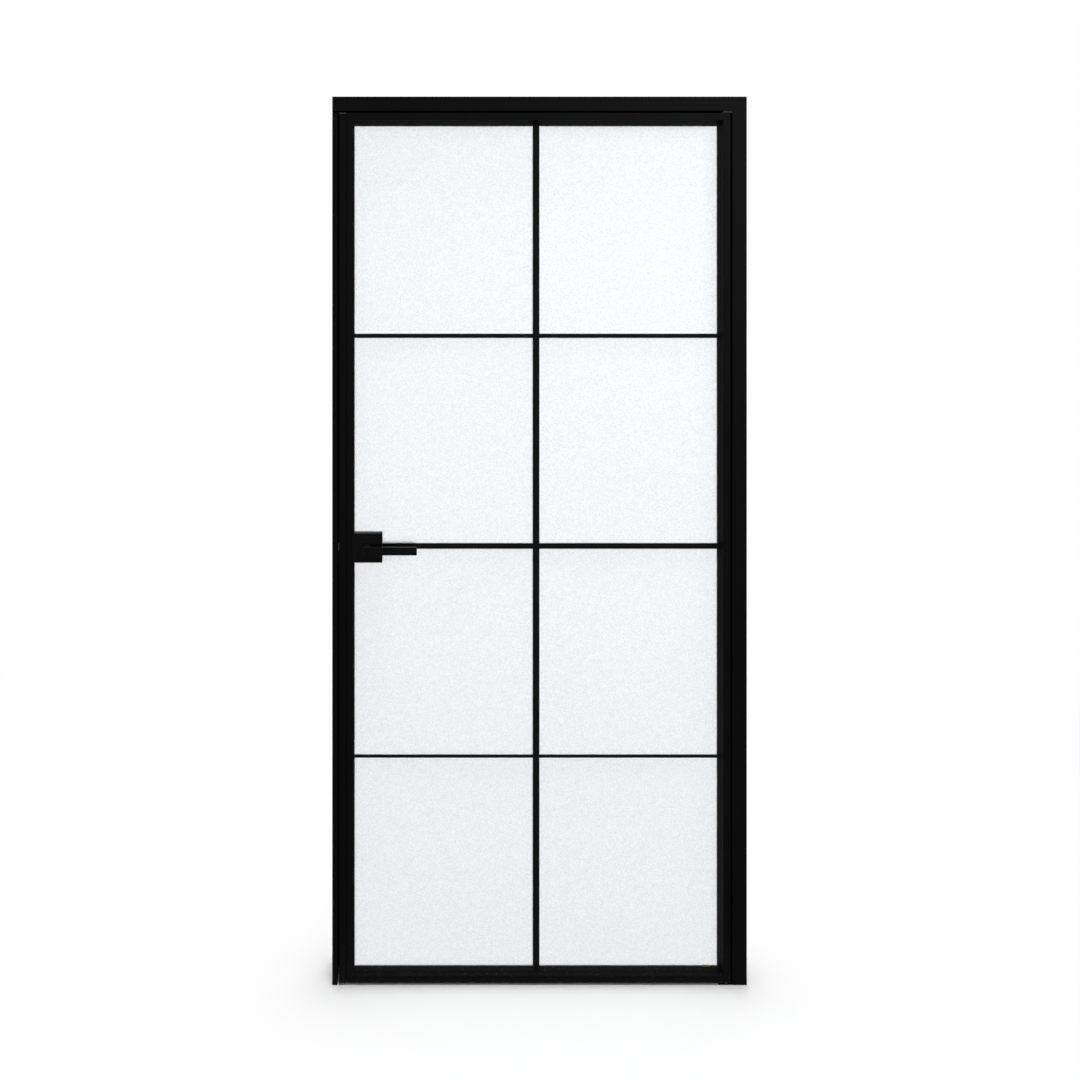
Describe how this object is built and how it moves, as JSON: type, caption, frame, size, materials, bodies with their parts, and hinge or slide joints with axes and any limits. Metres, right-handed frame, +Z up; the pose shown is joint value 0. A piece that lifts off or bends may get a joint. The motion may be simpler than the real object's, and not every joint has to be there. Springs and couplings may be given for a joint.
{
  "type": "glass door",
  "caption": "Glazed door leaf with slim glazing bars, pivot-hung in its own black metal frame, with lever handles on both sides and a latch.",
  "frame": {"origin": "on the floor, halfway across the frame and halfway through the leaf", "axes": "+X to the right as seen from the front, -Y towards the viewer of the picture, +Z up"},
  "size_m": [0.98, 0.164, 2.1],
  "materials": {
    "black_coat": "black powder coat, fine satin texture",
    "handle_black": "black satin coat",
    "glass": "satin, acid-etched",
    "rubber": "matt black",
    "steel": "brushed",
    "mill_metal": "mill finish, sawn",
    "black_plastic": "matt",
    "packer_tan": "matt tan",
    "brush": "fine bristles"
  },
  "bodies": {
    "frame": {"frame_head": "black_coat", "hinge_jamb": "black_coat", "strike_jamb": "black_coat", "head_end_cap": "black_plastic", "frame_corner_cleat": "mill_metal", "strike_jamb_spigot": "mill_metal", "head_stop": "black_coat", "hinge_stop": "black_coat", "strike_stop": "black_coat", "head_seal": "rubber", "hinge_seal": "rubber", "strike_seal": "rubber", "strike_plate": "handle_black", "strike_screws": "steel", "top_pivot_pin": "steel", "top_pivot_plate": "steel", "pivot_foot_plate": "steel", "bottom_pivot_pin": "steel", "bottom_pivot_washer": "steel"},
    "leaf": {"closing_profile": "black_coat", "closing_profile_caps": "black_plastic", "lock_stile": "black_coat", "hinge_stile": "black_coat", "top_rail": "black_coat", "bottom_rail": "black_coat", "lock_corner_cleats": "mill_metal", "top_pivot_block": "mill_metal", "bottom_pivot_block": "mill_metal", "brush_seal": "brush", "glass_pane": "glass", "front_glazing_gaskets": "rubber", "rear_glazing_gaskets": "rubber", "setting_blocks": "black_plastic", "glazing_packer": "packer_tan", "glazing_bead_lock": "black_coat", "glazing_bead_hinge": "black_coat", "glazing_bead_top": "black_coat", "glazing_bead_bottom": "black_coat", "front_bar_vertical": "black_coat", "front_bar_row_1": "black_coat", "front_bar_row_2": "black_coat", "front_bar_row_3": "black_coat", "rear_bar_vertical": "black_coat", "rear_bar_row_1": "black_coat", "rear_bar_row_2": "black_coat", "rear_bar_row_3": "black_coat", "bar_tapes": "rubber", "front_lock_cover": "handle_black", "rear_lock_cover": "handle_black", "cover_screws": "steel", "lock_case": "handle_black", "forend": "handle_black", "forend_screws": "steel"},
    "handle": {"front_lever": "handle_black", "rear_lever": "handle_black", "spindle": "steel", "hub": "steel", "lever_screws": "steel"},
    "latch": {"latch_bolt": "steel"}
  },
  "joints": [
    {"name": "leaf_swing", "type": "hinge", "parent": "frame", "child": "leaf", "pos_m": [0.443, -0.0205, 0], "axis": [0, 0, 1], "range_deg": [0, 110]},
    {"name": "handle_turn", "type": "hinge", "parent": "leaf", "child": "handle", "pos_m": [-0.407, 0, 1.03325], "axis": [0, 1, 0], "range_deg": [0, 40], "stiffness_Nm_per_rad": 1.5, "springref_deg": -28.65},
    {"name": "latch_slide", "type": "slide", "parent": "leaf", "child": "latch", "axis": [1, 0, 0], "range_m": [0, 0.011]}
  ],
  "couplings": [
    {"joint": "latch_slide", "follows": "handle_turn", "m_per_rad": 0.01575}
  ]
}
